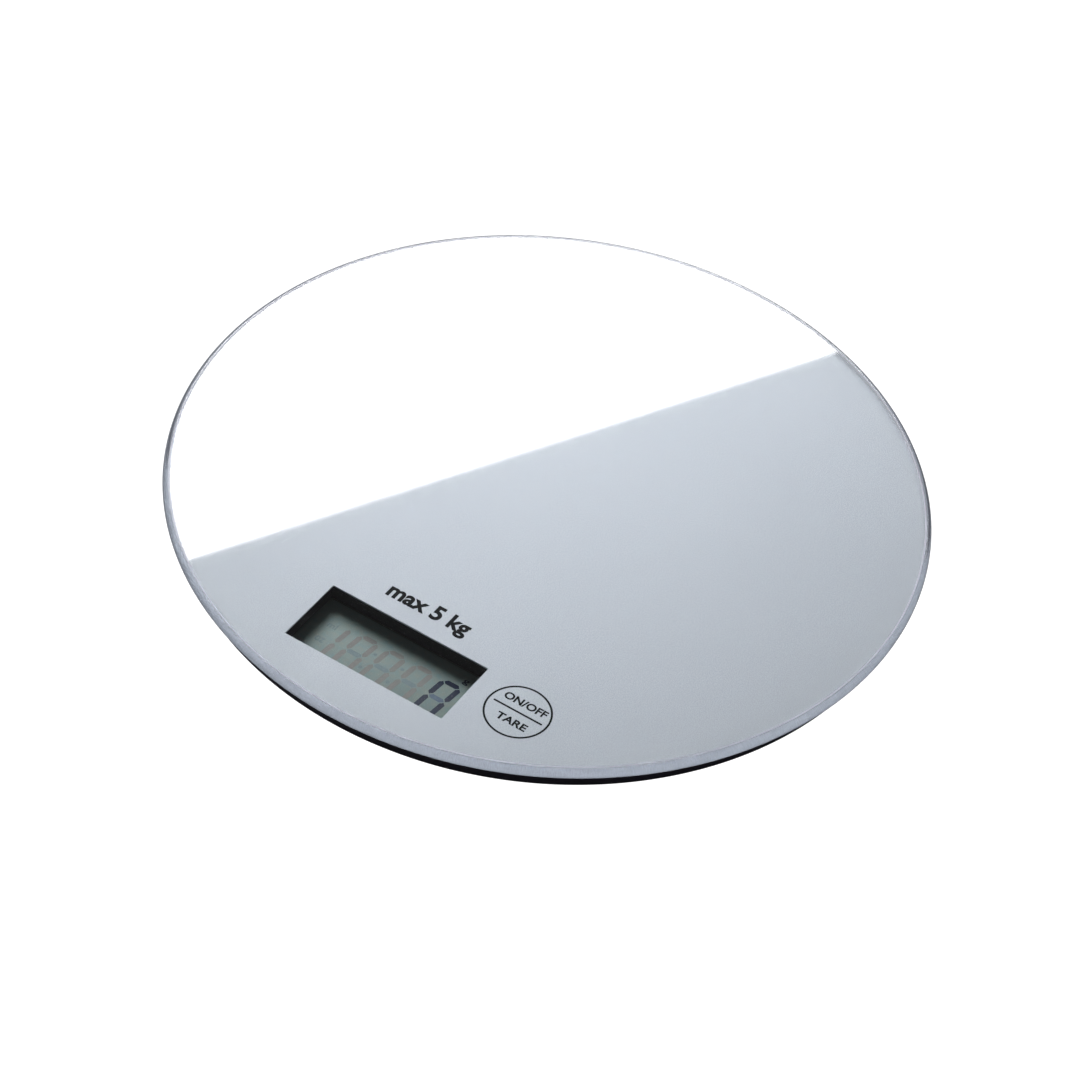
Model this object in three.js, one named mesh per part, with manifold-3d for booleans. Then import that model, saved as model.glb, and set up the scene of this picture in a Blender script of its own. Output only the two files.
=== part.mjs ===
// Round digital kitchen scale: a printed safety-glass platter bonded to a shallow black tray.
// The tray holds the display, the circuit board, a coin cell and four strain-gauge load cells, and the
// scale stands on four feet that each press on one load cell.
// Millimetres, +Z up, origin on the table under the middle of the platter, display towards -Y.
import * as THREE from "three";
import { mergeVertices } from "three/addons/utils/BufferGeometryUtils.js";
import Module from "manifold-3d";

const wasm = await Module();
wasm.setup();

// ---- Driving dimensions -------------------------------------------------------------------------

const GAP = 0.3; // between pieces that touch or are bonded on the real scale
const ROUND = 64; // sides of the large turned shapes
const SMALL_ROUND = 14; // sides of the small turned shapes

const PLATTER = { radius: 100, thickness: 3, top: 15 };
const PRINT = { radius: 98.6, thickness: 0.2, window: [46.5, 20.5], windowAt: [0, -74.25] };
const TOUCH_KEY = { at: [36.8, -71.5], springRadius: 4, wire: 0.35, turns: 3 };

const TRAY = {
  radius: 97, // outside of the upright rim
  wall: 1.6,
  bottom: 2, // underside of the floor
  floorTop: 3.6,
  flatRadius: 88, // where the underside starts to slope up
  rimStart: 7.6, // where the slope has rolled into the upright rim
  rollRadius: 1.5,
};

const STATION = { x: 50, y: 50 }; // load cells and feet, one in each quarter
const CELL = { side: 26, thickness: 1.4, bottom: 6.9, opening: 20, tongueWidth: 10, tongueEnd: -7 };
const SEAT = { outer: 25, inner: 20.4 }; // rib frame under a load cell
const CLAMP = { thickness: 1.2, window: 17, earAt: 16, earRadius: 3, notch: 5 };
const CLAMP_SCREW_LENGTH = 5;
const BOARD_SCREW_LENGTH = 4;
const SCREW = { shaft: 0.9, head: 1.9, headHeight: 1 };
const BOSS = { radius: 2.6, hole: 1.2 };

const FOOT = { hole: 9.1, radius: 8.8, flange: 10, post: 2.5, bottom: 1, padRadius: 7.8, padHeight: 1.7 };
const TRAVEL = 0.5; // of a foot at full load, and of the unit key

const HOLDER = { size: [54, 26.6], opening: [47.5, 21.5], bottom: 6 };
const CUSHION_BOTTOM = 3.9;
const DISPLAY = { size: [50, 24], at: [0, -73.2], thickness: 1.8, top: 6.6 };
const BOARD = { bottom: 7, thickness: 1.2 };
const BOARD_SCREWS = [[-24, -34], [24, -34], [-24, -54]];
const SWITCH = { at: [-10, -44], side: 6 };
const KEY = { radius: 4.2, hole: 4.6, flange: 5.8, bottom: 1.6 };

const WELL = { at: [0, 10], size: [25, 28], wall: 1.4, roofBottom: 8.1, roofThickness: 1.4 };
const HATCH = { clearance: 0.3, thickness: 1.5, barrel: 0.75, pin: 0.45 };
const COIN = { radius: 10, thickness: 3.2, bottom: 3.8 };

const PAD = { side: 10, thickness: 1 };
const PADS = {
  right: [82, 0],
  left: [-82, 0],
  rear: [0, 82],
  middle: [0, -17],
  front_left: [-38, -76],
  front_right: [50.5, -69],
};

// Heights that follow from the ones above.
const PLATTER_BOTTOM = PLATTER.top - PLATTER.thickness;
const PRINT_BOTTOM = PLATTER_BOTTOM - GAP - PRINT.thickness;
const INSIDE_TOP = PRINT_BOTTOM - GAP; // what stands inside the tray reaches up to here
const PAD_BOTTOM = INSIDE_TOP - PAD.thickness;
const SEAT_TOP = CELL.bottom - GAP;
const POST_TOP = CELL.bottom - TRAVEL - 0.1;
const CELL_TOP = CELL.bottom + CELL.thickness;
const CLAMP_BOTTOM = CELL_TOP + GAP;
const CLAMP_TOP = CLAMP_BOTTOM + CLAMP.thickness;
const BOARD_TOP = BOARD.bottom + BOARD.thickness;
const COIN_TOP = COIN.bottom + COIN.thickness;

// ---- Materials ----------------------------------------------------------------------------------

const finish = (color, roughness, metalness = 0) =>
  new THREE.MeshStandardMaterial({ color, roughness, metalness });
const MATERIALS = {
  glass: new THREE.MeshStandardMaterial({
    color: 0xdfeaf0,
    roughness: 0.05,
    transparent: true,
    opacity: 0.35,
  }),
  print: finish(0xb4bcc6, 0.45, 0.3),
  tray: finish(0x1b1a1d, 0.5),
  innerPlastic: finish(0x232326, 0.6),
  clampPlastic: finish(0xe6e3da, 0.55),
  rubber: finish(0x2b2b2d, 0.9),
  steel: finish(0xaeb2b5, 0.35, 1),
  contact: finish(0xd8d4c4, 0.25, 1),
  coin: finish(0xc9cccf, 0.3, 1),
  board: finish(0x1f6b3f, 0.5),
  epoxy: finish(0x101012, 0.4),
  display: finish(0x8f9d97, 0.2),
  ribbon: finish(0xc98c3c, 0.4),
  foam: finish(0xf1f0ea, 0.9),
  gauge: finish(0xc7a04a, 0.6),
  cellLead: finish(0xd9d9d6, 0.5),
  redLead: finish(0xb3261e, 0.5),
  blackLead: finish(0x151515, 0.5),
};

// ---- Shape helpers ------------------------------------------------------------------------------

// A three.js geometry as a closed solid.
function solidOf(geometry) {
  const bare = geometry.index ? geometry.toNonIndexed() : geometry.clone();
  bare.deleteAttribute("normal");
  bare.deleteAttribute("uv");
  const merged = mergeVertices(bare, 1e-4);
  const corners = merged.index.array;
  const kept = [];
  for (let i = 0; i < corners.length; i += 3) {
    const [a, b, c] = corners.slice(i, i + 3);
    if (a !== b && b !== c && a !== c) kept.push(a, b, c);
  }
  const vertProperties = merged.attributes.position.array;
  const meshOf = (triVerts) =>
    new wasm.Mesh({ numProp: 3, vertProperties, triVerts: new Uint32Array(triVerts) });
  const made = new wasm.Manifold(meshOf(kept));
  return made.volume() < 0 ? new wasm.Manifold(meshOf(kept.reverse())) : made;
}

function geometryOf(solid) {
  const { numProp, numVert, vertProperties, triVerts } = solid.getMesh();
  const places = new Float32Array(numVert * 3);
  for (let i = 0; i < numVert; i++) places.set(vertProperties.subarray(i * numProp, i * numProp + 3), i * 3);
  const geometry = new THREE.BufferGeometry();
  geometry.setAttribute("position", new THREE.BufferAttribute(places, 3));
  geometry.setIndex(new THREE.BufferAttribute(triVerts, 1));
  const flat = geometry.toNonIndexed();
  flat.computeVertexNormals();
  return flat;
}

const join = (...parts) => geometryOf(parts.map(solidOf).reduce((a, b) => a.add(b)));
const cut = (part, ...tools) =>
  geometryOf(tools.map(solidOf).reduce((a, b) => a.subtract(b), solidOf(part)));

const box = (width, depth, low, high, x = 0, y = 0) =>
  new THREE.BoxGeometry(width, depth, high - low).translate(x, y, (low + high) / 2);

const disc = (radius, low, high, x = 0, y = 0, sides = SMALL_ROUND) =>
  new THREE.CylinderGeometry(radius, radius, high - low, sides)
    .rotateX(Math.PI / 2)
    .translate(x, y, (low + high) / 2);

// A shape turned about Z from [radius, height] points.
function turned(profile, sides = SMALL_ROUND) {
  const points = profile.map(([r, z]) => new THREE.Vector2(r, z));
  return geometryOf(solidOf(new THREE.LatheGeometry(points, sides).rotateX(Math.PI / 2)));
}

// Points on an arc in a [radius, height] profile, angles in degrees.
function arc(r, z, radius, from, to, steps) {
  return Array.from({ length: steps + 1 }, (_, i) => {
    const angle = THREE.MathUtils.degToRad(from + ((to - from) * i) / steps);
    return [r + radius * Math.cos(angle), z + radius * Math.sin(angle)];
  });
}

function roundedOutline(width, depth, radius) {
  const shape = new THREE.Shape();
  const [x, y] = [width / 2, depth / 2];
  shape.moveTo(-x + radius, -y);
  shape.lineTo(x - radius, -y).absarc(x - radius, -y + radius, radius, -Math.PI / 2, 0);
  shape.lineTo(x, y - radius).absarc(x - radius, y - radius, radius, 0, Math.PI / 2);
  shape.lineTo(-x + radius, y).absarc(-x + radius, y - radius, radius, Math.PI / 2, Math.PI);
  shape.lineTo(-x, -y + radius).absarc(-x + radius, -y + radius, radius, Math.PI, Math.PI * 1.5);
  return shape;
}

const raise = (shape, low, high, x = 0, y = 0, curveSegments = 2) =>
  new THREE.ExtrudeGeometry(shape, { depth: high - low, bevelEnabled: false, curveSegments })
    .translate(x, y, low);

const roundedBox = (width, depth, radius, low, high, x = 0, y = 0) =>
  raise(roundedOutline(width, depth, radius), low, high, x, y);

const outline = (points) => new THREE.Shape(points.map(([x, y]) => new THREE.Vector2(x, y)));

// A lead of the given section that follows a smooth curve through the points.
function lead(section, points, steps) {
  const path = new THREE.CatmullRomCurve3(points.map((p) => new THREE.Vector3(...p)), false, "centripetal");
  return new THREE.ExtrudeGeometry(section, { steps, extrudePath: path, bevelEnabled: false });
}

function roundSection(radius, sides) {
  const turn = (2 * Math.PI) / sides;
  const at = (i) => [radius * Math.cos(turn * i), radius * Math.sin(turn * i)];
  return outline(Array.from({ length: sides }, (_, i) => at(i)));
}

const scale = new THREE.Group();
function piece(name, geometry, material, parent = scale) {
  const mesh = new THREE.Mesh(geometry, material);
  mesh.name = name;
  parent.add(mesh);
  return mesh;
}

// ---- Platter: a disc with a fully rounded polished edge, and the enamel printed on its back ---------

function platter() {
  const half = PLATTER.thickness / 2;
  const edge = arc(PLATTER.radius - half, PLATTER_BOTTOM + half, half, -90, 90, 6);
  return turned([[0, PLATTER_BOTTOM], ...edge, [0, PLATTER.top]], ROUND);
}

function printedLayer() {
  const layer = disc(PRINT.radius, PRINT_BOTTOM, PRINT_BOTTOM + PRINT.thickness, 0, 0, ROUND);
  const window = box(...PRINT.window, PRINT_BOTTOM - 1, PLATTER_BOTTOM, ...PRINT.windowAt);
  return cut(layer, window);
}

// ---- Tray: the black underside, with ribs, bosses and the coin-cell well --------------------------------

const STATIONS = [
  { name: "front_left", x: -STATION.x, y: -STATION.y, turn: 0 },
  { name: "front_right", x: STATION.x, y: -STATION.y, turn: 0 },
  { name: "rear_left", x: -STATION.x, y: STATION.y, turn: Math.PI },
  { name: "rear_right", x: STATION.x, y: STATION.y, turn: Math.PI },
];

function trayShell() {
  const { radius, wall, bottom, floorTop, flatRadius, rimStart, rollRadius } = TRAY;
  const roll = arc(radius - rollRadius, rimStart, rollRadius, -50, 0, 3);
  return turned(
    [
      [0, bottom],
      [flatRadius, bottom],
      ...roll,
      [radius, INSIDE_TOP],
      [radius - wall, INSIDE_TOP],
      [radius - wall, rimStart],
      [flatRadius - 0.9, floorTop],
      [0, floorTop],
    ],
    ROUND,
  );
}

function ribFrame({ x, y }) {
  return cut(
    box(SEAT.outer, SEAT.outer, TRAY.floorTop - 0.5, SEAT_TOP, x, y),
    box(SEAT.inner, SEAT.inner, TRAY.bottom, SEAT_TOP + 1, x, y),
  );
}

// Crossed ribs that carry a bonding pad.
function padRibs([x, y]) {
  const rib = 1.4;
  const low = TRAY.floorTop - 0.5;
  const high = PAD_BOTTOM - GAP;
  return join(box(PAD.side, rib, low, high, x, y), box(rib, PAD.side, low, high, x, y));
}

const CLAMP_SCREWS = STATIONS.flatMap(({ x, y }) => [[x - CLAMP.earAt, y], [x + CLAMP.earAt, y]]);

function tray() {
  const [wellX, wellY] = WELL.at;
  const [wellWidth, wellDepth] = WELL.size;
  const roofTop = WELL.roofBottom + WELL.roofThickness;
  const low = TRAY.floorTop - 0.5;
  const solids = join(
    trayShell(),
    ...STATIONS.map(ribFrame),
    ...CLAMP_SCREWS.map(([x, y]) => disc(BOSS.radius, low, CLAMP_BOTTOM - GAP, x, y, 10)),
    ...BOARD_SCREWS.map(([x, y]) => disc(BOSS.radius, low, BOARD.bottom - GAP, x, y, 10)),
    ...Object.values(PADS).map(padRibs),
    roundedBox(wellWidth + 2 * WELL.wall, wellDepth + 2 * WELL.wall, 2, low, roofTop, wellX, wellY),
  );
  const hingeY = wellY + wellDepth / 2 - HATCH.clearance - HATCH.barrel;
  const hingeZ = TRAY.bottom + HATCH.thickness / 2;
  const socket = new THREE.CylinderGeometry(HATCH.pin + 0.15, HATCH.pin + 0.15, wellWidth + 2, 10)
    .rotateZ(Math.PI / 2)
    .translate(wellX, hingeY, hingeZ);
  const contactSlot = 9;
  return cut(
    solids,
    ...STATIONS.map(({ x, y }) => disc(FOOT.hole, 0, TRAY.floorTop + 1, x, y, 32)),
    ...CLAMP_SCREWS.map((place) => screwHole(CLAMP_TOP, CLAMP_SCREW_LENGTH, place)),
    ...BOARD_SCREWS.map((place) => screwHole(BOARD_TOP, BOARD_SCREW_LENGTH, place)),
    disc(KEY.hole, 0, TRAY.floorTop + 1, ...SWITCH.at, 20),
    box(wellWidth, wellDepth, 0, WELL.roofBottom, wellX, wellY), // the coin-cell well, open below
    // The leads pass through this slot.
    box(contactSlot, WELL.wall + 2, 5.4, WELL.roofBottom, wellX, wellY - wellDepth / 2 - WELL.wall / 2),
    socket,
    // The thumb notch beside the hatch's free edge.
    new THREE.CylinderGeometry(9, 9, 12, 36)
      .rotateZ(Math.PI / 2)
      .translate(wellX, wellY - wellDepth / 2 - 3.4, TRAY.bottom - 8),
  );
}

// ---- Load-cell stations: stamped cell, gauge, clamp, its screws and the foot below --------------

function loadCell() {
  const half = CELL.opening / 2;
  const tongue = CELL.tongueWidth / 2;
  const plate = roundedOutline(CELL.side, CELL.side, 4);
  // The slot leaves a tongue that is rooted at +Y and bends when the foot pushes it up.
  const slot = [[-half, half], [-half, -half], [half, -half], [half, half], [tongue, half],
    [tongue, CELL.tongueEnd],
    [-tongue, CELL.tongueEnd], [-tongue, half]];
  plate.holes.push(new THREE.Path(slot.map(([x, y]) => new THREE.Vector2(x, y))));
  return raise(plate, CELL.bottom, CELL_TOP);
}

function clamp() {
  const frame = join(
    roundedBox(CELL.side, CELL.side, 4, CLAMP_BOTTOM, CLAMP_TOP),
    box(2 * CLAMP.earAt, 2 * CLAMP.earRadius, CLAMP_BOTTOM, CLAMP_TOP),
    disc(CLAMP.earRadius, CLAMP_BOTTOM, CLAMP_TOP, -CLAMP.earAt, 0),
    disc(CLAMP.earRadius, CLAMP_BOTTOM, CLAMP_TOP, CLAMP.earAt, 0),
  );
  return cut(
    frame,
    box(CLAMP.window, CLAMP.window, CLAMP_BOTTOM - 1, CLAMP_TOP + 1),
    box(CLAMP.notch, CELL.side, CLAMP_BOTTOM - 1, CLAMP_TOP + 1, 0, CELL.side / 2),
    disc(BOSS.hole, CLAMP_BOTTOM - 1, CLAMP_TOP + 1, -CLAMP.earAt, 0, 8),
    disc(BOSS.hole, CLAMP_BOTTOM - 1, CLAMP_TOP + 1, CLAMP.earAt, 0, 8),
  );
}

// A pan-head screw whose head rests on the piece with its top at the given height.
function screw(seat, length) {
  const { shaft, head, headHeight } = SCREW;
  const low = seat + GAP;
  const top = low + headHeight;
  const tip = low - length;
  return turned([[0, tip], [shaft, tip + 1], [shaft, low], [head, low], [head * 0.75, top], [0, top]], 10);
}

// The hole that such a screw is driven into.
const screwHole = (seat, length, [x, y]) => disc(BOSS.hole, seat - length - 0.2, seat, x, y, 8);

function footCarrier() {
  const recess = FOOT.padHeight + GAP;
  return turned(
    [
      [0, recess],
      [FOOT.padRadius + 0.25, recess],
      [FOOT.padRadius + 0.25, FOOT.bottom],
      [FOOT.radius, FOOT.bottom],
      [FOOT.radius, TRAY.floorTop + GAP],
      [FOOT.flange, TRAY.floorTop + GAP],
      [FOOT.flange, TRAY.floorTop + GAP + 1],
      [FOOT.post, TRAY.floorTop + GAP + 1],
      [FOOT.post, POST_TOP - 0.5],
      [FOOT.post - 0.5, POST_TOP],
      [0, POST_TOP],
    ],
    24,
  );
}

function footPad() {
  const { padRadius: r, padHeight: h } = FOOT;
  return turned([[0, 0], [r - 0.5, 0], [r, 0.5], [r, h], [0, h]], 24);
}

// Each cell's lead leaves through the notch in its clamp and ends at the board's edge.
function cellLeadPath({ x, y }) {
  const side = Math.sign(x);
  const inwards = -Math.sign(y);
  const over = CLAMP_BOTTOM + 0.8;
  const floor = TRAY.floorTop + 1.4;
  const boardEdge = (BOARD.bottom + BOARD_TOP) / 2;
  const start = [[x, y + inwards * 7, over], [x, y + inwards * 11, over + 0.1],
    [x, y + inwards * 15, over - 0.4]];
  if (y < 0)
    return [...start, [side * 46, -31, floor + 1.5], [side * 38, -33, floor + 1.5],
      [side * 34, -39, boardEdge - 0.5], [side * 29.8, -40, boardEdge]];
  return [...start, [side * 46, 28, floor + 0.8], [side * 38, 14, floor], [side * 30, -8, floor],
    [side * 19, -20, floor + 0.6], [side * 15, -26, boardEdge - 0.6], [side * 14, -29.1, boardEdge]];
}

function stations() {
  const leadSection = roundSection(0.7, 6);
  for (const station of STATIONS) {
    const group = new THREE.Group();
    group.position.set(station.x, station.y, 0);
    group.rotation.z = station.turn;
    scale.add(group);
    piece(`load_cell_${station.name}`, loadCell(), MATERIALS.steel, group);
    piece(`strain_gauge_${station.name}`, roundedBox(4, 5, 0.8, CELL_TOP + GAP, CELL_TOP + GAP + 0.4, 0, 3.5),
      MATERIALS.gauge, group);
    piece(`cell_clamp_${station.name}`, clamp(), MATERIALS.clampPlastic, group);
    for (const [label, x] of [["a", -CLAMP.earAt], ["b", CLAMP.earAt]]) {
      const shape = screw(CLAMP_TOP, CLAMP_SCREW_LENGTH).translate(x, 0, 0);
      piece(`clamp_screw_${station.name}_${label}`, shape, MATERIALS.steel, group);
    }
    piece(`foot_carrier_${station.name}`, footCarrier(), MATERIALS.innerPlastic, group);
    piece(`foot_pad_${station.name}`, footPad(), MATERIALS.rubber, group);
    const cellLead = lead(leadSection, cellLeadPath(station), station.y < 0 ? 16 : 26);
    piece(`cell_lead_${station.name}`, cellLead, MATERIALS.cellLead);
  }
}

// ---- Display: holder, liquid-crystal panel, cushion and ribbon --------------------------------------

function displayHolder() {
  const [width, depth] = DISPLAY.size;
  return cut(
    roundedBox(...HOLDER.size, 1.5, HOLDER.bottom, INSIDE_TOP, ...PRINT.windowAt),
    box(width + 2 * GAP, depth + 2 * GAP, 0, DISPLAY.top + GAP, ...DISPLAY.at),
    box(...HOLDER.opening, 0, PLATTER_BOTTOM, ...PRINT.windowAt),
  );
}

function ribbon() {
  const back = DISPLAY.at[1] + DISPLAY.size[1] / 2;
  const underPanel = DISPLAY.top - DISPLAY.thickness - GAP;
  const underBoard = BOARD.bottom - GAP;
  const top = [[back - 4, underPanel], [back, underPanel], [back + 1.5, underPanel + 0.3],
    [back + 4, underBoard - 0.4], [back + 5, underBoard], [back + 7, underBoard]];
  const lower = top.map(([y, z]) => [y, z - 0.2]).reverse();
  const strip = raise(outline([...top, ...lower]), -15, 15);
  // The outline is drawn in Y and Z, and its length runs along X.
  return strip.applyMatrix4(new THREE.Matrix4().set(0, 0, 1, 0, 1, 0, 0, 0, 0, 1, 0, 0, 0, 0, 0, 1));
}

function display() {
  const [x, y] = DISPLAY.at;
  const panelBottom = DISPLAY.top - DISPLAY.thickness;
  piece("display_holder", displayHolder(), MATERIALS.innerPlastic);
  piece("display_panel", box(...DISPLAY.size, panelBottom, DISPLAY.top, x, y), MATERIALS.display);
  const cushion = roundedBox(40, 14, 1, CUSHION_BOTTOM, panelBottom - GAP, x, y - 1);
  piece("display_cushion", cushion, MATERIALS.foam);
  piece("display_ribbon", ribbon(), MATERIALS.ribbon);
}

// ---- Circuit board with its chip, switch, touch spring and screws -------------------------------------

function board() {
  const arm = outline([[-29, -59.5], [28, -59.5], [28, -79], [44.5, -79], [44.5, -64.2],
    [35.6, -64.2], [35.6, -56.5], [29, -56.5], [29, -30], [-29, -30]]);
  const plate = raise(arm, BOARD.bottom, BOARD_TOP);
  const holeAt = ([x, y]) => disc(BOSS.hole, BOARD.bottom - 1, BOARD_TOP + 1, x, y, 8);
  return cut(plate, ...BOARD_SCREWS.map(holeAt));
}

function touchSpring() {
  const { springRadius, wire, turns } = TOUCH_KEY;
  const low = BOARD_TOP + GAP + wire;
  const high = INSIDE_TOP - wire;
  class Helix extends THREE.Curve {
    getPoint(t) {
      const angle = 2 * Math.PI * turns * t;
      const height = low + (high - low) * t;
      return new THREE.Vector3(springRadius * Math.cos(angle), springRadius * Math.sin(angle), height);
    }
  }
  const settings = { steps: 36, extrudePath: new Helix(), bevelEnabled: false };
  return new THREE.ExtrudeGeometry(roundSection(wire, 5), settings)
    .translate(...TOUCH_KEY.at, 0);
}

function electronics() {
  const [switchX, switchY] = SWITCH.at;
  piece("circuit_board", board(), MATERIALS.board);
  piece("chip_cap", turned([[0, BOARD_TOP + GAP], [6, BOARD_TOP + GAP], [5.4, BOARD_TOP + 0.9],
    [3.6, BOARD_TOP + 1.4],
    [0, BOARD_TOP + 1.6]], 16).translate(10, -44, 0), MATERIALS.epoxy);
  piece("touch_spring", touchSpring(), MATERIALS.contact);
  piece("unit_switch", join(
    box(SWITCH.side, SWITCH.side, 5.4, BOARD.bottom - GAP, switchX, switchY),
    disc(1.7, 5, 5.6, switchX, switchY, 10),
  ), MATERIALS.epoxy);
  BOARD_SCREWS.forEach(([x, y], i) =>
    piece(`board_screw_${i + 1}`, screw(BOARD_TOP, BOARD_SCREW_LENGTH).translate(x, y, 0), MATERIALS.steel));
}

// The unit key in the underside: a cap with a flange that keeps it in the tray.
function unitKey() {
  const { radius, flange, bottom } = KEY;
  const flangeLow = TRAY.floorTop + GAP;
  const cap = turned([[0, bottom + 0.3], [radius - 1.6, bottom + 0.1], [radius - 0.4, bottom],
    [radius, bottom + 0.4],
    [radius, flangeLow], [flange, flangeLow], [flange, flangeLow + 0.5], [0, flangeLow + 0.5]], 20);
  return cap.translate(...SWITCH.at, 0);
}

// ---- Coin cell, its contacts and the hatch ---------------------------------------------------------

function coinCell() {
  const { radius, thickness, bottom } = COIN;
  const canEdge = 0.4;
  const top = bottom + thickness;
  return turned([[0, bottom], [radius - canEdge, bottom], [radius, bottom + canEdge], [radius, top - 0.7],
    [radius - 0.9, top - 0.5], [radius - 1.2, top], [0, top]], 28)
    .translate(...WELL.at, 0);
}

// Three sprung leaves on a strip, which press on the cell's inner face.
function innerContact() {
  const [x, y] = WELL.at;
  const low = COIN_TOP + GAP;
  return join(
    box(14, 5, low + 0.2, low + 0.5, x, y - 1),
    box(2, 12, low, low + 0.3, x - 4, y + 2),
    box(2, 12, low, low + 0.3, x, y + 2),
    box(2, 12, low, low + 0.3, x + 4, y + 2),
    box(3, 10, low + 0.2, low + 0.5, x - 2.5, y - 8),
  );
}

// A bent strip against the cell's side.
function sideContact() {
  const [x, y] = WELL.at;
  const inner = x + COIN.radius + GAP;
  return join(
    box(0.4, 8, COIN.bottom + 0.4, COIN_TOP - 0.4, inner + 0.2, y),
    box(0.4, 2, COIN.bottom + 0.4, COIN_TOP + 0.4, inner + 0.2, y - 3.2),
    box(1.6, 2, COIN_TOP, COIN_TOP + 0.4, inner + 0.8, y - 3.2),
  );
}

function hatch() {
  const [x, y] = WELL.at;
  const [wellWidth, wellDepth] = WELL.size;
  const { clearance, thickness, barrel, pin } = HATCH;
  const [width, depth] = [wellWidth - 2 * clearance, wellDepth - 2 * clearance];
  const hingeY = y + depth / 2 - barrel;
  const hingeZ = TRAY.bottom + thickness / 2;
  const along = (radius, length, sides) =>
    new THREE.CylinderGeometry(radius, radius, length, sides)
      .rotateZ(Math.PI / 2)
      .translate(x, hingeY, hingeZ);
  const plateDepth = depth - barrel;
  const grip = 0.7;
  const gripRibs = [0, 1, 2, 3].map((i) =>
    box(12, grip, 0, TRAY.bottom + 0.35, x, y - depth / 2 + 3 + i * 2 * grip));
  const latch = join(
    box(9, 1, TRAY.bottom + thickness - 0.2, TRAY.floorTop + 2.2, x, y - depth / 2 + 1.2),
    box(9, 0.5, TRAY.floorTop + 1.2, TRAY.floorTop + 1.8, x, y - depth / 2 + 0.6),
  );
  const plateY = y - depth / 2 + plateDepth / 2;
  const plate = box(width, plateDepth, TRAY.bottom, TRAY.bottom + thickness, x, plateY);
  return cut(join(plate, along(barrel, width, 14), along(pin, wellWidth + 1.2, 10), latch), ...gripRibs);
}

function power() {
  const [x, y] = WELL.at;
  const front = y - WELL.size[1] / 2 - WELL.wall;
  const edge = (BOARD.bottom + BOARD_TOP) / 2;
  piece("coin_cell", coinCell(), MATERIALS.coin);
  piece("inner_contact", innerContact(), MATERIALS.contact);
  piece("side_contact", sideContact(), MATERIALS.contact);
  const wire = roundSection(0.55, 6);
  const route = (side) => [[x + side * 3, front + 0.7, 6.6], [x + side * 4, front - 3, 6],
    [side * 7.5, -16, 5], [side * 7.5, -23, 5.6], [side * 7.5, -29.1, edge]];
  piece("red_lead", lead(wire, route(1), 14), MATERIALS.redLead);
  piece("black_lead", lead(wire, route(-1), 14), MATERIALS.blackLead);
  piece("battery_hatch", hatch(), MATERIALS.tray);
}

// ---- The whole scale --------------------------------------------------------------------------------

piece("glass_platter", platter(), MATERIALS.glass);
piece("printed_layer", printedLayer(), MATERIALS.print);
piece("tray", tray(), MATERIALS.tray);
for (const [name, [x, y]] of Object.entries(PADS)) {
  const shape = roundedBox(PAD.side, PAD.side, 1, PAD_BOTTOM, INSIDE_TOP, x, y);
  piece(`bonding_pad_${name}`, shape, MATERIALS.foam);
}
stations();
display();
electronics();
power();
piece("unit_key", unitKey(), MATERIALS.tray);

export default scale;
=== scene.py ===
from math import cos, pi, radians, sin

import bmesh
import bpy
from mathutils import Matrix, Vector


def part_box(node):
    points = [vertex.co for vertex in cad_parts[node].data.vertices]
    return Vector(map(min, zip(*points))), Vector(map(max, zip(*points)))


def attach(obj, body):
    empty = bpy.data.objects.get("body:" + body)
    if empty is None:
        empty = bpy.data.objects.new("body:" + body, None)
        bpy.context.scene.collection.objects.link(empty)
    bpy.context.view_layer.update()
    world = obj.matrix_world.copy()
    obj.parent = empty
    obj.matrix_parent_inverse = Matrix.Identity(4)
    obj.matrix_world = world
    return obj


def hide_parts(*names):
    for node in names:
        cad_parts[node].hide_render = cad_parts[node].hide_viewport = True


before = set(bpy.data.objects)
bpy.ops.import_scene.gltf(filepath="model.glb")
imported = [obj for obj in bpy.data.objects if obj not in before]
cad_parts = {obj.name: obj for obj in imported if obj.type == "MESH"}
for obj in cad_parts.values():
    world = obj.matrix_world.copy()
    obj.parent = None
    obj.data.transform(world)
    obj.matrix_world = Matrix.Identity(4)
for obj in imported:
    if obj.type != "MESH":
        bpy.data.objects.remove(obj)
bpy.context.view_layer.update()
MM = 0.001


# ---- Studio -------------------------------------------------------------------------------------
# The scale stands on a table that the camera sees overexposed, as plain white. A lamp high behind it
# to the left lights it, and the mirror image of a softbox behind it covers the left half of the glass.

platter_low, platter_high = (Vector(corner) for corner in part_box("glass_platter"))

CAMERA_TARGET = Vector((9.9, -20.2, 15.0)) * MM
CAMERA_DISTANCE = 0.802
CAMERA_AZIMUTH = 28.02
CAMERA_ELEVATION = 44.78
CAMERA_ROLL = 6.88
LENS_LENGTH = 105  # this and the next in millimetres, as Blender's camera has them
SENSOR_WIDTH = 36
camera_data = bpy.data.cameras.new("camera")
camera_data.lens = LENS_LENGTH
camera_data.sensor_width = SENSOR_WIDTH
camera = bpy.data.objects.new("camera", camera_data)
bpy.context.scene.collection.objects.link(camera)
bpy.context.scene.camera = camera
camera_turn = (
    Matrix.Rotation(radians(CAMERA_AZIMUTH), 4, "Z")
    @ Matrix.Rotation(radians(90 - CAMERA_ELEVATION), 4, "X")
    @ Matrix.Rotation(radians(CAMERA_ROLL), 4, "Z")
)
camera_place = CAMERA_TARGET + camera_turn.to_3x3() @ Vector((0, 0, CAMERA_DISTANCE))
camera.matrix_world = Matrix.Translation(camera_place) @ camera_turn

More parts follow.
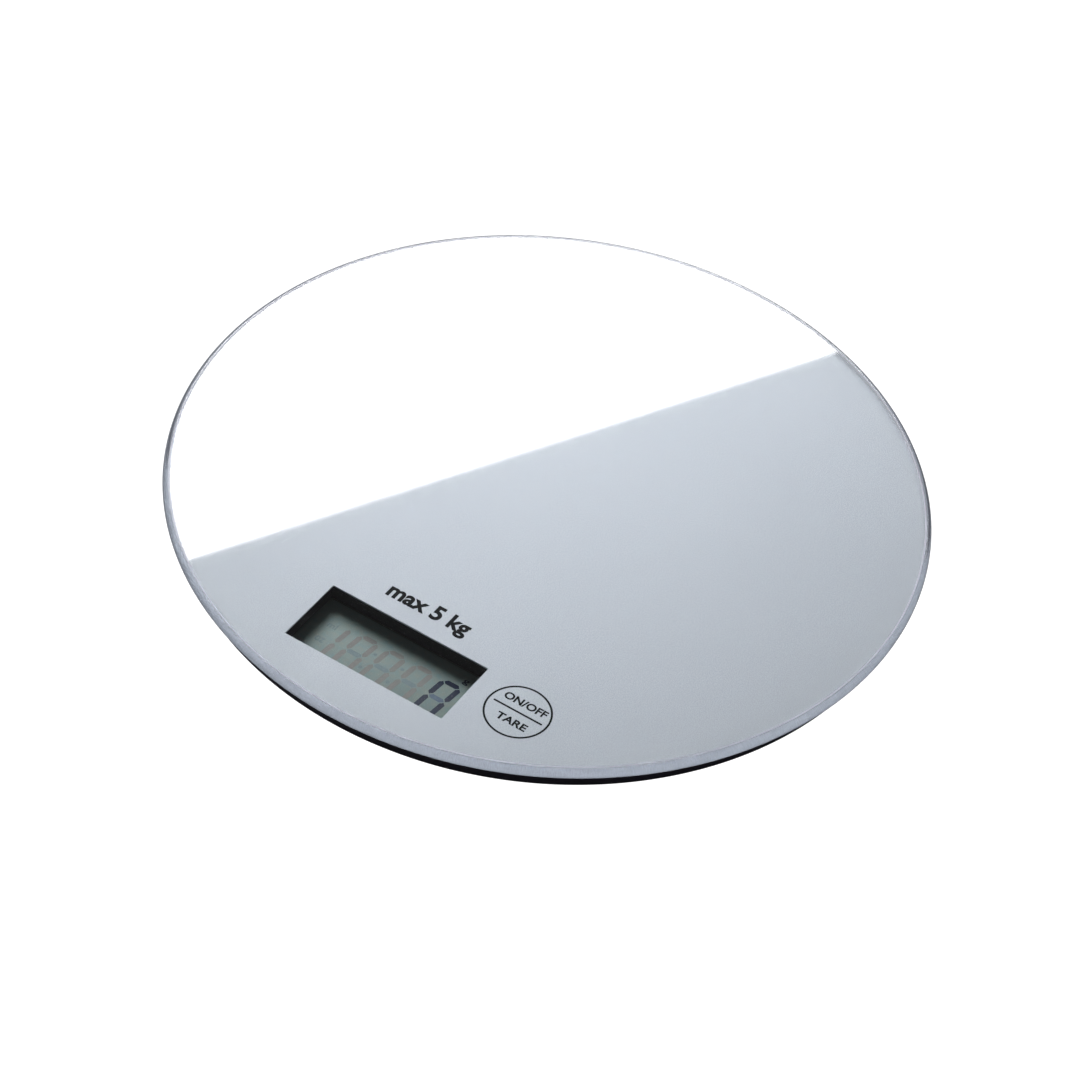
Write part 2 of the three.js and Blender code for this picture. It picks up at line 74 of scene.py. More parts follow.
# The softbox's nearer edge is mirrored along this line across the top of the glass.
REFLECTION_START = Vector((-55.5 * MM, -79.3 * MM, platter_high.z))
REFLECTION_END = Vector((35.4 * MM, 91.4 * MM, platter_high.z))
SOFTBOX_DISTANCE = 1.3
SOFTBOX_LENGTH = 0.8
SOFTBOX_WIDTH = 0.42
SOFTBOX_SHIFT = 0.05  # along its length, to light the far side of the print more than the near side
SOFTBOX_RADIANCE = 13.0
mirrored_camera = Vector((camera_place.x, camera_place.y, 2 * platter_high.z - camera_place.z))
line_middle = (REFLECTION_START + REFLECTION_END) / 2
ray = (line_middle - mirrored_camera).normalized()
along = REFLECTION_END - REFLECTION_START
along = (along - along.dot(ray) * ray).normalized()
across = ray.cross(along)
softbox_data = bpy.data.lights.new("softbox", "AREA")
softbox_data.shape = "RECTANGLE"
softbox_data.size = SOFTBOX_LENGTH
softbox_data.size_y = SOFTBOX_WIDTH
softbox_data.energy = SOFTBOX_RADIANCE * pi * SOFTBOX_LENGTH * SOFTBOX_WIDTH
softbox = bpy.data.objects.new("softbox", softbox_data)
bpy.context.scene.collection.objects.link(softbox)
softbox.matrix_world = Matrix.Translation(
    line_middle + ray * SOFTBOX_DISTANCE + across * SOFTBOX_WIDTH / 2 + along * SOFTBOX_SHIFT
) @ Matrix((along, across, ray)).transposed().to_4x4()
softbox.visible_camera = False
softbox.visible_diffuse = False

# The lamp's light reaches the bottom of the display window past the window's left and back edges.
LAMP_DIRECTION = Vector((-0.72, 0.74, 1.0)).normalized()
LAMP_DISTANCE = 1.3
LAMP_SIDE = 0.55
LAMP_RADIANCE = 23.0
lamp_data = bpy.data.lights.new("lamp", "AREA")
lamp_data.shape = "SQUARE"
lamp_data.size = LAMP_SIDE
lamp_data.energy = LAMP_RADIANCE * pi * LAMP_SIDE**2
lamp = bpy.data.objects.new("lamp", lamp_data)
bpy.context.scene.collection.objects.link(lamp)
lamp_turn = LAMP_DIRECTION.to_track_quat("Z", "Y").to_matrix().to_4x4()
lamp.matrix_world = Matrix.Translation(LAMP_DIRECTION * LAMP_DISTANCE) @ lamp_turn
lamp.visible_camera = False
lamp.visible_glossy = False
lamp.visible_transmission = False

ROOM_BRIGHTNESS = 0.07
ROOM_COLOUR = (0.97, 0.98, 1.0, 1)
room = bpy.data.worlds.new("room")
room.use_nodes = True
room.node_tree.nodes["Background"].inputs["Color"].default_value = ROOM_COLOUR
room.node_tree.nodes["Background"].inputs["Strength"].default_value = ROOM_BRIGHTNESS
bpy.context.scene.world = room
bpy.context.scene.view_settings.view_transform = "Standard"


def linear(hex_colour):
    """An sRGB colour such as #b4bcc6, as the linear RGBA that Blender works in."""
    parts = [int(hex_colour[i : i + 2], 16) / 255 for i in (1, 3, 5)]
    return (*(p / 12.92 if p <= 0.04045 else ((p + 0.055) / 1.055) ** 2.4 for p in parts), 1)


def new_material(name):
    material = bpy.data.materials.new(name)
    material.use_nodes = True
    material.node_tree.nodes.clear()
    return material


def add_node(material, kind, inputs=None, **settings):
    """Add a node; an input is either a value or another node's output to link to it."""
    node = material.node_tree.nodes.new(kind)
    for name, value in settings.items():
        setattr(node, name, value)
    for socket, value in (inputs or {}).items():
        if isinstance(value, bpy.types.NodeSocket):
            material.node_tree.links.new(value, node.inputs[socket])
        else:
            node.inputs[socket].default_value = value
    return node


def surface(material, rough=None, relief=None, **sockets):
    """Finish a material with the shader that has these sockets, named with _ for a space.

    rough is a pattern and two roughnesses, for the pattern's usual run from 0.3 to 0.7.
    relief is a pattern and the depth in metres that it stands up by.
    """
    inputs = {name.replace("_", " "): value for name, value in sockets.items()}
    if rough:
        pattern, low, high = rough
        spread = {"Value": pattern, "From Min": 0.3, "From Max": 0.7, "To Min": low, "To Max": high}
        inputs["Roughness"] = add_node(material, "ShaderNodeMapRange", spread).outputs["Result"]
    if relief:
        pattern, depth = relief
        bump = add_node(material, "ShaderNodeBump", {"Height": pattern, "Distance": depth})
        inputs["Normal"] = bump.outputs["Normal"]
    shader = add_node(material, "ShaderNodeBsdfPrincipled", inputs)
    add_node(material, "ShaderNodeOutputMaterial", {"Surface": shader.outputs[0]})


def grain(material, size, detail=3.0):
    """Noise on the object's own coordinates, whose lumps are about this many metres across."""
    place = add_node(material, "ShaderNodeTexCoord").outputs["Object"]
    values = {"Vector": place, "Scale": 1 / size, "Detail": detail}
    return add_node(material, "ShaderNodeTexNoise", values).outputs["Fac"]


def between(material, factor, low, high, low_at=0.3, high_at=0.7):
    """A colour that runs between two hex colours as the factor goes from low_at to high_at."""
    share = add_node(
        material, "ShaderNodeMapRange", {"Value": factor, "From Min": low_at, "From Max": high_at}
    ).outputs["Result"]
    ends = {"Factor": share, 6: linear(low), 7: linear(high)}
    return add_node(material, "ShaderNodeMix", ends, data_type="RGBA").outputs[2]


# Table top: a pale grey matt laminate that lights the scale from below, overexposed to white where
# the camera looks at it, either straight or through the glass.
OVEREXPOSED = 1.2
TABLE_SIDE = 6
laminate = new_material("overexposed_laminate")
laminate_grain = grain(laminate, 2 * MM)
matt = add_node(
    laminate, "ShaderNodeBsdfDiffuse", {"Color": between(laminate, laminate_grain, "#84868a", "#8a8c90")}
)
white = add_node(laminate, "ShaderNodeEmission", {"Color": (1, 1, 1, 1), "Strength": OVEREXPOSED})
light_path = add_node(laminate, "ShaderNodeLightPath").outputs
in_view = add_node(
    laminate,
    "ShaderNodeMath",
    {0: light_path["Is Camera Ray"], 1: light_path["Is Transmission Ray"]},
    operation="MAXIMUM",
).outputs[0]
seen = add_node(
    laminate, "ShaderNodeMixShader", {"Fac": in_view, 1: matt.outputs[0], 2: white.outputs[0]}
)
add_node(laminate, "ShaderNodeOutputMaterial", {"Surface": seen.outputs[0]})
bpy.ops.object.select_all(action="DESELECT")
bpy.ops.mesh.primitive_plane_add(size=TABLE_SIDE, location=(0, 0, 0))
table = bpy.context.object
table.name = "table_top"
table.data.materials.append(laminate)


# ---- Platter ------------------------------------------------------------------------------------
# Tempered soda-lime glass with polished faces, ground to a half-round edge. It is clear; the colour
# that shows through it is the enamel on its back.

FINE_STEPS = 256


def finish_edit():
    bpy.ops.mesh.select_all(action="SELECT")
    bpy.ops.mesh.remove_doubles(threshold=1e-6)
    bpy.ops.mesh.normals_make_consistent(inside=False)
    bpy.ops.object.mode_set(mode="OBJECT")


def turned(name, outline, centre=(0, 0), steps=64, smooth=35):
    """Spin an outline of (radius, height) points about the upright line through centre."""
    bpy.ops.object.select_all(action="DESELECT")
    bpy.ops.mesh.primitive_plane_add(size=MM, location=(0, 0, 0), enter_editmode=True)
    bpy.ops.mesh.select_mode(type="VERT")
    bpy.ops.mesh.select_all(action="SELECT")
    bpy.ops.mesh.merge(type="CENTER")
    first_r, first_z = outline[0]
    bpy.ops.transform.translate(value=(centre[0] + first_r, centre[1], first_z))
    for (r0, z0), (r1, z1) in zip(outline, outline[1:]):
        bpy.ops.mesh.extrude_vertices_move(TRANSFORM_OT_translate={"value": (r1 - r0, 0, z1 - z0)})
    bpy.ops.mesh.select_all(action="SELECT")
    bpy.ops.mesh.spin(steps=steps, angle=2 * pi, center=(*centre, 0), axis=(0, 0, 1))
    finish_edit()
    piece = bpy.context.object
    piece.name = name
    bpy.ops.object.shade_smooth_by_angle(angle=radians(smooth))
    return piece


def arc(r, z, radius, start, end, steps):
    """Points of a round stretch in an outline, angles in degrees."""
    angles = [radians(start + (end - start) * i / steps) for i in range(steps + 1)]
    return [(r + radius * cos(angle), z + radius * sin(angle)) for angle in angles]


def wear(piece, material, body="body", replaces=()):
    """Give a finished piece its material, its body and the nodes it stands for."""
    piece.data.materials.clear()
    piece.data.materials.append(material)
    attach(piece, body)
    if replaces:
        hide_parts(*replaces)


platter_radius = platter_high.x
glass_thickness = platter_high.z - platter_low.z
edge_radius = glass_thickness / 2
edge_middle = platter_low.z + edge_radius
flat_radius = platter_radius - edge_radius
ARRIS = 0.45 * MM  # the line along which the grinding wheel broke each face's edge
platter_outline = [(0, platter_low.z), (flat_radius - ARRIS, platter_low.z)]
platter_outline += arc(flat_radius, edge_middle, edge_radius, -90, 90, 20)
platter_outline += [(flat_radius - ARRIS, platter_high.z), (0, platter_high.z)]
platter = turned("platter", platter_outline, steps=FINE_STEPS, smooth=30)

# Clear enough to see the print and the table through, and smooth enough to mirror the softbox.
glass = new_material("polished_soda_lime_glass")
surface(glass, Base_Color=linear("#fdfefe"), Roughness=0.022, IOR=1.52, Transmission_Weight=1.0)
wear(platter, glass, replaces=["glass_platter"])

# The ground edge is a little misty. Its grey, darker lower down all round, is painted shade for the
# light that the black tray takes from it. It reads as a soft grey band round the clear disc.
ground_glass = new_material("ground_glass_edge_painted_shade")
edge_place = add_node(ground_glass, "ShaderNodeTexCoord").outputs["Object"]
edge_height = add_node(ground_glass, "ShaderNodeSeparateXYZ", {"Vector": edge_place}).outputs["Z"]
# Painted shade: the edge's colour runs from dark grey at the bottom to pale grey at the top.
edge_painted_shade = between(
    ground_glass, edge_height, "#6d727c", "#b2b6c1", platter_low.z + 0.4 * MM, platter_high.z
)
surface(ground_glass, Base_Color=edge_painted_shade, Roughness=0.16, IOR=1.52, Transmission_Weight=0.8)
platter.data.materials.append(ground_glass)

# The arris is matt, so it shows as a thin pale line, and breaks the mirror image of the softbox.
arris_glass = new_material("matt_ground_arris")
surface(
    arris_glass, Base_Color=linear("#d2d2e0"), Roughness=0.55, IOR=1.52, Transmission_Weight=0.75
)
platter.data.materials.append(arris_glass)
for polygon in platter.data.polygons:
    radius = polygon.center.xy.length
    if radius > flat_radius:
        polygon.material_index = 1
    elif radius > flat_radius - ARRIS:
        polygon.material_index = 2

# Light goes straight through to what lies under the glass, without caustics.
platter.visible_shadow = False
platter.visible_diffuse = False


# ---- Printed back ---------------------------------------------------------------------------------
# Silver-grey enamel with fine metallic flake, screen-printed on the back of the glass and fired. The
# window over the display is left clear, and the black legends are printed before the silver.

PRINT_SINKS_IN = 0.02 * MM  # into the glass, so that no air lies between the two
WINDOW_SIZE = Vector((46.5, 20.5)) * MM
print_low, print_high = (Vector(corner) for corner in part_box("printed_layer"))
holder_low, holder_high = (Vector(corner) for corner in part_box("display_holder"))
window_centre = (holder_low + holder_high) / 2


def select_in_edit(piece, kind, test):
    """In edit mode, select the piece's verts, edges or faces that pass the test, and only those."""
    bpy.ops.mesh.select_all(action="DESELECT")
    bpy.ops.mesh.select_mode(type={"verts": "VERT", "edges": "EDGE", "faces": "FACE"}[kind])
    mesh = bmesh.from_edit_mesh(piece.data)
    for item in getattr(mesh, kind):
        if test(item):
            item.select_set(True)
    bmesh.update_edit_mesh(piece.data)


def upright(edge):
    a, b = (vert.co for vert in edge.verts)
    return abs(a.z - b.z) > 1e-6 and (a - b).xy.length < 1e-6


def block(name, low, high, corner=0.0, edge=0.0):
    """A box between two corners, with rounded upright corners and then a fine round on every edge."""
    low, high = Vector(low), Vector(high)
    bpy.ops.object.select_all(action="DESELECT")
    bpy.ops.mesh.primitive_cube_add(size=1, location=(low + high) / 2, scale=high - low)
    piece = bpy.context.object
    piece.name = name
    bpy.ops.object.transform_apply(location=True, rotation=True, scale=True)
    if corner:
        bpy.ops.object.mode_set(mode="EDIT")
        select_in_edit(piece, "edges", upright)
        bpy.ops.mesh.bevel(offset=corner, segments=6, affect="EDGES")
        finish_edit()
    if edge:
        round_edges(piece, edge)
    bpy.ops.object.shade_smooth_by_angle(angle=radians(35))
    return piece


def apply_modifiers(piece):
    bpy.ops.object.select_all(action="DESELECT")
    piece.select_set(True)
    bpy.context.view_layer.objects.active = piece
    for modifier in list(piece.modifiers):
        bpy.ops.object.modifier_apply(modifier=modifier.name)


def round_edges(piece, width, segments=3):
    bevel = piece.modifiers.new("round", "BEVEL")
    bevel.width = width
    bevel.segments = segments
    bevel.limit_method = "ANGLE"
    bevel.angle_limit = radians(35)
    apply_modifiers(piece)


def cut_out(piece, *tools, smooth=35):
    """Cut each tool's shape out of the piece, and throw the tools away."""
    for tool in tools:
        boolean = piece.modifiers.new("cut", "BOOLEAN")
        boolean.operation = "DIFFERENCE"
        boolean.solver = "EXACT"
        boolean.object = tool
        apply_modifiers(piece)
        bpy.data.objects.remove(tool)
    bpy.ops.object.shade_smooth_by_angle(angle=radians(smooth))


silver_outline = [
    (0, print_low.z),
    (print_high.x, print_low.z),
    (print_high.x, platter_low.z + PRINT_SINKS_IN),
    (0, platter_low.z + PRINT_SINKS_IN),
]
silver = turned("silver_print", silver_outline, steps=FINE_STEPS)
half_window = WINDOW_SIZE.to_3d() / 2
window_tool = block(
    "window",
    Vector((window_centre.x, window_centre.y, print_low.z - MM)) - half_window,
    Vector((window_centre.x, window_centre.y, platter_low.z + MM)) + half_window,
)
cut_out(silver, window_tool)

# Fine flake gives a satin silver with a faint sparkle, broken up by slow clouds in its gloss.
enamel = new_material("silver_flake_enamel")
flake = grain(enamel, 0.25 * MM, detail=2.0)
cloud = grain(enamel, 9 * MM, detail=4.0)
tone = between(enamel, flake, "#91979f", "#acb2b9")
surface(
    enamel,
    Base_Color=tone,
    Metallic=0.35,
    rough=(cloud, 0.375, 0.385),
    relief=(flake, 0.004 * MM),
)
wear(silver, enamel, replaces=["printed_layer"])

# Legends: a fingertip ring for the touch key with a rule across it, its two words, and the capacity.
KEY_CENTRE = Vector((36.8, -71.5)) * MM
RING_RADIUS = 8.3 * MM
LINE = 0.53 * MM
RULE_LENGTH = 14.0 * MM
ink_low = platter_low.z + 0.03 * MM
ink_high = platter_low.z + 0.05 * MM

# A dense ink that stays black and sharp-edged, with no shine of its own.
ink = new_material("black_screen_ink")
ink_grain = grain(ink, 0.3 * MM)
surface(
    ink,
    Base_Color=between(ink, ink_grain, "#0c0b0d", "#131215"),
    rough=(ink_grain, 0.42, 0.55),
    Specular_IOR_Level=0.1,
)

ring = turned(
    "key_ring_print",
    [
        (RING_RADIUS - LINE / 2, ink_low),
        (RING_RADIUS + LINE / 2, ink_low),
        (RING_RADIUS + LINE / 2, ink_high),
        (RING_RADIUS - LINE / 2, ink_high),
        (RING_RADIUS - LINE / 2, ink_low),
    ],
    centre=KEY_CENTRE,
    steps=96,
)
wear(ring, ink)
rule = block(
    "key_rule_print",
    (KEY_CENTRE.x - RULE_LENGTH / 2, KEY_CENTRE.y - LINE / 2, ink_low),
    (KEY_CENTRE.x + RULE_LENGTH / 2, KEY_CENTRE.y + LINE / 2, ink_high),
    corner=0.2 * MM,
)
wear(rule, ink)


def printed_word(name, body, left, base, width, height, bold=0.0, low=ink_low, high=ink_high):
    """Lettering that fills a width and capital height from its lower left corner, as a thin mesh."""
    bpy.ops.object.select_all(action="DESELECT")
    bpy.ops.object.text_add(location=(0, 0, 0))
    word = bpy.context.object
    word.data.body = body
    word.data.size = 1
    word.data.offset = bold
    word.data.extrude = 0.5
    word.data.resolution_u = 6
    bpy.ops.object.convert(target="MESH")
    word = bpy.context.object
    word.name = name
    corners = [vert.co.copy() for vert in word.data.vertices]
    lowest = Vector([min(c[i] for c in corners) for i in range(3)])
    highest = Vector([max(c[i] for c in corners) for i in range(3)])
    stretch = (width / (highest.x - lowest.x), height / (highest.y - lowest.y), high - low)
    bpy.ops.object.mode_set(mode="EDIT")
    bpy.ops.mesh.select_all(action="SELECT")
    bpy.ops.transform.translate(value=(-lowest.x, -lowest.y, 0.5))
    bpy.ops.transform.resize(value=stretch, center_override=(0, 0, 0))
    bpy.ops.transform.translate(value=(left, base, low))
    finish_edit()
    return word


# Each legend's name, letters, lower left corner, width, height and added stroke.
LEGENDS = [
    ("on_off_print", "ON/OFF", 31.1 * MM, -69.5 * MM, 12.1 * MM, 2.4 * MM, 0.03),
    ("tare_print", "TARE", 33.0 * MM, -76.1 * MM, 8.5 * MM, 2.3 * MM, 0.03),
    ("capacity_print", "max 5 kg", -11.4 * MM, -60.2 * MM, 24.0 * MM, 6.6 * MM, 0.035),
]
for legend in LEGENDS:
    wear(printed_word(*legend), ink)


# ---- Display --------------------------------------------------------------------------------------
# A reflective liquid-crystal panel lies deep in a black moulded holder behind the window. Two sheets of
# glass between polarisers; the digits that are off still show faintly, and the last one reads zero.

HOLDER_OPENING = Vector((47.5, 21.5)) * MM
HOLDER_ROUND = 1.5 * MM
panel_low, panel_high = (Vector(corner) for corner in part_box("display_panel"))

holder_top = Vector((holder_high.x, holder_high.y, platter_low.z))
holder = block("display_holder_moulding", holder_low, holder_top, HOLDER_ROUND)
panel_room = Vector((0.3, 0.3, 0.3)) * MM
opening = HOLDER_OPENING / 2
cut_out(
    holder,
    block("recess", panel_low - panel_room - Vector((0, 0, MM)), panel_high + panel_room),
    block(
        "light_well",
        (window_centre.x - opening.x, window_centre.y - opening.y, panel_low.z),
        (window_centre.x + opening.x, window_centre.y + opening.y, platter_high.z),
        corner=0.6 * MM,
    ),
)
round_edges(holder, 0.12 * MM, segments=2)

# Satin black that lets the sides of the well fall into shadow.
well_plastic = new_material("black_satin_moulded_abs")
well_grain = grain(well_plastic, 0.15 * MM)
surface(
    well_plastic,
    Base_Color=between(well_plastic, well_grain, "#131218", "#1a1920"),
    rough=(well_grain, 0.45, 0.6),
    Specular_IOR_Level=0.12,
    relief=(well_grain, 0.01 * MM),
)
wear(holder, well_plastic, replaces=["display_holder"])

# The panel: the lower sheet sticks out at the back as the ledge that the ribbon is bonded to.
LEDGE = 2.4 * MM
SHEET = 0.55 * MM
POLARISER = 0.2 * MM
lower_sheet = block(
    "display_lower_sheet",
    panel_low + Vector((0, 0, POLARISER)),
    (panel_high.x, panel_high.y, panel_high.z - POLARISER - SHEET),
    edge=0.06 * MM,
)
# Grey-green and glossy, as a cut edge of thin display glass looks.
lcd_glass = new_material("display_sheet_glass")
lcd_tint = grain(lcd_glass, 6 * MM)
lcd_colour = between(lcd_glass, lcd_tint, "#77837f", "#7f8b87")
surface(lcd_glass, Base_Color=lcd_colour, Roughness=0.12, IOR=1.52)
wear(lower_sheet, lcd_glass, replaces=["display_panel"])

view_low = Vector((panel_low.x + 0.6 * MM, panel_low.y + 0.4 * MM, panel_high.z - POLARISER - SHEET))
view_high = Vector((panel_high.x - 0.6 * MM, panel_high.y - LEDGE, panel_high.z))
face = block("display_face", view_low, view_high, edge=0.05 * MM)
# Grey-green film with a slight pink cast in patches, matt under its gloss.
reflector = new_material("grey_green_polariser_film")
film_grain = grain(reflector, 3.5 * MM, detail=2.0)
film_tint = grain(reflector, 1.3 * MM, detail=1.0)
green_grey = between(reflector, film_grain, "#778e90", "#819390")
cast_share = {"Value": film_tint, "From Min": 0.3, "From Max": 0.7, "To Min": 0.0, "To Max": 0.35}
pink_cast = add_node(
    reflector,
    "ShaderNodeMix",
    {
        "Factor": add_node(reflector, "ShaderNodeMapRange", cast_share).outputs["Result"],
        6: green_grey,
        7: linear("#929089"),
    },
    data_type="RGBA",
)
surface(
    reflector,
    Base_Color=pink_cast.outputs[2],
    rough=(film_tint, 0.45, 0.52),
    Specular_IOR_Level=0.15,
)
wear(face, reflector)

# Digits of seven bars each, leaning over, with gaps as fine as the mask that etched them.
DIGIT_HEIGHT = 13.4 * MM
DIGIT_WIDTH = 6.2 * MM
DIGIT_PITCH = 8.2 * MM
DIGITS = 5
DIGIT_BELOW_CENTRE = 1.3 * MM
LAST_DIGIT_X = window_centre.x + 16.1 * MM
BAR = 1.45 * MM
BAR_GAP = 0.2 * MM
LEAN = 0.1
mark_low = panel_high.z - 0.01 * MM
mark_high = panel_high.z + 0.012 * MM


def liquid_crystal(name, size, dark, pale):
    """Driven or idle crystal: a soft-edged tone in the display, uneven over lumps of this size."""
    material = new_material(name)
    colour = between(material, grain(material, size), dark, pale)
    surface(material, Base_Color=colour, Roughness=0.45, Specular_IOR_Level=0.15)
    return material


# From blue-black where a bar is on to hardly darker than the film where it is off.
lit = liquid_crystal("dark_liquid_crystal", 0.5 * MM, "#0c1830", "#13203a")
faint = liquid_crystal("faint_liquid_crystal", 0.8 * MM, "#6a7d83", "#73848a")
# A painted shadow: the zero's middle bar is off, but is drawn mid-dark blue-grey for the shadow and
# double image of the driven bars on the film beneath.
middle_bar_painted_shadow = liquid_crystal("painted_shadow_liquid_crystal", 0.8 * MM, "#4a5c70", "#55687b")
ghost = liquid_crystal("clear_liquid_crystal", 1.2 * MM, "#777a7a", "#807f7e")


def bar(name, start, end, material):
    """One bar of a digit: a strip with pointed ends between two points on the display."""
    (x0, y0), (x1, y1) = start, end
    lying = abs(x1 - x0) > abs(y1 - y0)
    bpy.ops.object.select_all(action="DESELECT")
    bpy.ops.mesh.primitive_circle_add(
        vertices=6, radius=BAR / 2, fill_type="NGON", enter_editmode=True
    )
    piece = bpy.context.object
    piece.name = name
    bpy.ops.mesh.select_all(action="DESELECT")
    reach = (abs(x1 - x0) if lying else abs(y1 - y0)) / 2 - BAR_GAP
    mesh = bmesh.from_edit_mesh(piece.data)
    mesh.faces.ensure_lookup_table()
    corners = [
        (-reach, 0),
        (-reach + BAR / 2, BAR / 2),
        (reach - BAR / 2, BAR / 2),
        (reach, 0),
        (reach - BAR / 2, -BAR / 2),
        (-reach + BAR / 2, -BAR / 2),
    ]
    ring_verts = list(mesh.faces[0].verts)
    if mesh.faces[0].normal.z > 0:
        ring_verts.reverse()
    middle_x, middle_y = (x0 + x1) / 2, (y0 + y1) / 2
    for vert, (u, v) in zip(ring_verts, corners):
        x, y = (u, v) if lying else (v, u)
        vert.co = (middle_x + x + LEAN * (middle_y + y - panel_middle_y), middle_y + y, mark_low)
    bmesh.update_edit_mesh(piece.data)
    bpy.ops.mesh.select_all(action="SELECT")
    bpy.ops.mesh.extrude_region_move(TRANSFORM_OT_translate={"value": (0, 0, mark_high - mark_low)})
    finish_edit()
    wear(piece, material)


panel_middle_y = window_centre.y - DIGIT_BELOW_CENTRE
x_left, x_right = -DIGIT_WIDTH / 2 + BAR / 2, DIGIT_WIDTH / 2 - BAR / 2
y_top, y_bottom = DIGIT_HEIGHT / 2 - BAR / 2, -DIGIT_HEIGHT / 2 + BAR / 2
BARS = {
    "top": ((x_left, y_top), (x_right, y_top)),
    "middle": ((x_left, 0), (x_right, 0)),
    "bottom": ((x_left, y_bottom), (x_right, y_bottom)),
    "upper_left": ((x_left, 0), (x_left, y_top)),
    "upper_right": ((x_right, 0), (x_right, y_top)),
    "lower_left": ((x_left, y_bottom), (x_left, 0)),
    "lower_right": ((x_right, y_bottom), (x_right, 0)),
}
for place in range(DIGITS):  # the leftmost is only ever a one
    digit_x = LAST_DIGIT_X - place * DIGIT_PITCH
    for part, ((xa, ya), (xb, yb)) in BARS.items():
        if place == DIGITS - 1 and not part.endswith("right"):
            continue
        if place:
            shown = faint if part == "middle" else ghost
        else:
            # The zero's middle bar is off; its mid-dark tone is a painted shadow.
            shown = middle_bar_painted_shadow if part == "middle" else lit
        bar(
            f"digit_{place + 1}_{part}",
            (digit_x + xa, panel_middle_y + ya),
            (digit_x + xb, panel_middle_y + yb),
            shown,
        )
POINT_RADIUS = 0.5 * MM
POINT_RISE = 2.8 * MM
for place in (1, 2):
    for part, rise in (("upper", POINT_RISE), ("lower", -POINT_RISE)):
        point = turned(
            f"point_{place}_{part}",
            [(0, mark_low), (POINT_RADIUS, mark_low), (POINT_RADIUS, mark_high), (0, mark_high)],
            centre=(LAST_DIGIT_X - (place + 0.5) * DIGIT_PITCH + LEAN * rise, panel_middle_y + rise),
            steps=20,
        )
        wear(point, faint)

# Unit signs above and beside the digits: place from the window's centre and width, in millimetres.
UNIT_SIGNS = [
    ("g", 18.2, 6.4, 1.6, lit),
    ("ml", -19.4, 2.2, 2.6, faint),
    ("oz", -19.4, -3.4, 2.6, faint),
]
SIGN_HEIGHT = 1.8 * MM
for sign, sign_x, sign_y, sign_width, sign_material in UNIT_SIGNS:
    word = printed_word(
        f"unit_sign_{sign}",
        sign,
        window_centre.x + sign_x * MM,
        window_centre.y + sign_y * MM,
        sign_width * MM,
        SIGN_HEIGHT,
        bold=0.02,
        low=mark_low,
        high=mark_high,
    )
    wear(word, sign_material)


# ---- Tray -----------------------------------------------------------------------------------------
# Injection-moulded black ABS: a shallow dish with an upright rim, its outside finely spark-textured.
# Everything inside stands on it; the feet, the unit key and the coin-cell hatch come out underneath.

tray_low, tray_high = (Vector(corner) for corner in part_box("tray"))
TRAY_WALL = 1.6 * MM
TRAY_FLOOR_TOP = 3.6 * MM
TRAY_FLAT_RADIUS = 88 * MM
TRAY_RIM_START = 7.6 * MM
TRAY_ROLL = 1.5 * MM
STATIONS = ["front_left", "front_right", "rear_left", "rear_right"]


def middle_of(node):
    low, high = (Vector(corner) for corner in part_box(node))
    return (low + high) / 2


tray_radius = tray_high.x
tray_top = tray_high.z + 0.25 * MM
BOTTOM_ROUND = 2 * MM
outline = [(0, tray_low.z), (TRAY_FLAT_RADIUS - BOTTOM_ROUND, tray_low.z)]
outline += [(TRAY_FLAT_RADIUS + 0.2 * MM, tray_low.z + 0.25 * MM)]
outline += arc(tray_radius - TRAY_ROLL, TRAY_RIM_START, TRAY_ROLL, -55, 0, 12)
outline += arc(tray_radius - 0.3 * MM, tray_top - 0.3 * MM, 0.3 * MM, 0, 90, 4)
outline += [(tray_radius - TRAY_WALL, tray_top), (tray_radius - TRAY_WALL, TRAY_RIM_START)]
outline += [(TRAY_FLAT_RADIUS - 0.9 * MM, TRAY_FLOOR_TOP), (0, TRAY_FLOOR_TOP)]
tray = turned("tray_moulding", outline, steps=FINE_STEPS)

FOOT_HOLE = 9.1 * MM
KEY_HOLE = 4.6 * MM
WELL_SIZE = Vector((25, 28)) * MM
WELL_WALL = 1.4 * MM
WELL_ROOF = (8.1 * MM, 9.5 * MM)
NOTCH_RADIUS = 9 * MM
foot_centres = {station: middle_of(f"foot_pad_{station}") for station in STATIONS}
unit_key_centre = middle_of("unit_key")
well_centre = middle_of("coin_cell")


def plug(name, centre, radius, low, high, steps=64):
    """A plain upright cylinder, used to cut holes and as a start for bosses."""
    outline = [(0, low), (radius, low), (radius, high), (0, high)]
    return turned(name, outline, centre=centre.xy, steps=steps)


half_well = WELL_SIZE / 2
well_low = Vector((well_centre.x - half_well.x, well_centre.y - half_well.y, 0))
well_high = Vector((well_centre.x + half_well.x, well_centre.y + half_well.y, WELL_ROOF[0]))
bpy.ops.object.select_all(action="DESELECT")
bpy.ops.mesh.primitive_cylinder_add(
    vertices=96,
    radius=NOTCH_RADIUS,
    depth=12 * MM,
    rotation=(0, pi / 2, 0),
    location=(well_centre.x, well_low.y - 3.4 * MM, tray_low.z - 8 * MM),
)
thumb_notch = bpy.context.object
bpy.ops.object.transform_apply(location=True, rotation=True, scale=True)
cut_out(
    tray,
    *(plug("foot_hole", foot_centres[station], FOOT_HOLE, 0, tray_high.z) for station in STATIONS),
    plug("key_hole", unit_key_centre, KEY_HOLE, 0, tray_high.z),
    block("well_mouth", well_low, well_high, corner=0.8 * MM),
    thumb_notch,
    smooth=6,
)


def joined(piece, *others):
    """Join other closed shells into the piece's mesh."""
    bpy.ops.object.select_all(action="DESELECT")
    for other in others:
        other.select_set(True)
    piece.select_set(True)
    bpy.context.view_layer.objects.active = piece
    bpy.ops.object.join()


def bead(name, centre, inner, outer, low, high):
    """A low ring with a rounded crest on the underside."""
    middle, half = (inner + outer) / 2, (outer - inner) / 2
    angles = [pi * i / 8 for i in range(9)]
    crest = [(middle + half * cos(a), high - (high - low) * sin(a)) for a in angles]
    return turned(name, [*crest, crest[0]], centre=centre.xy, steps=72)


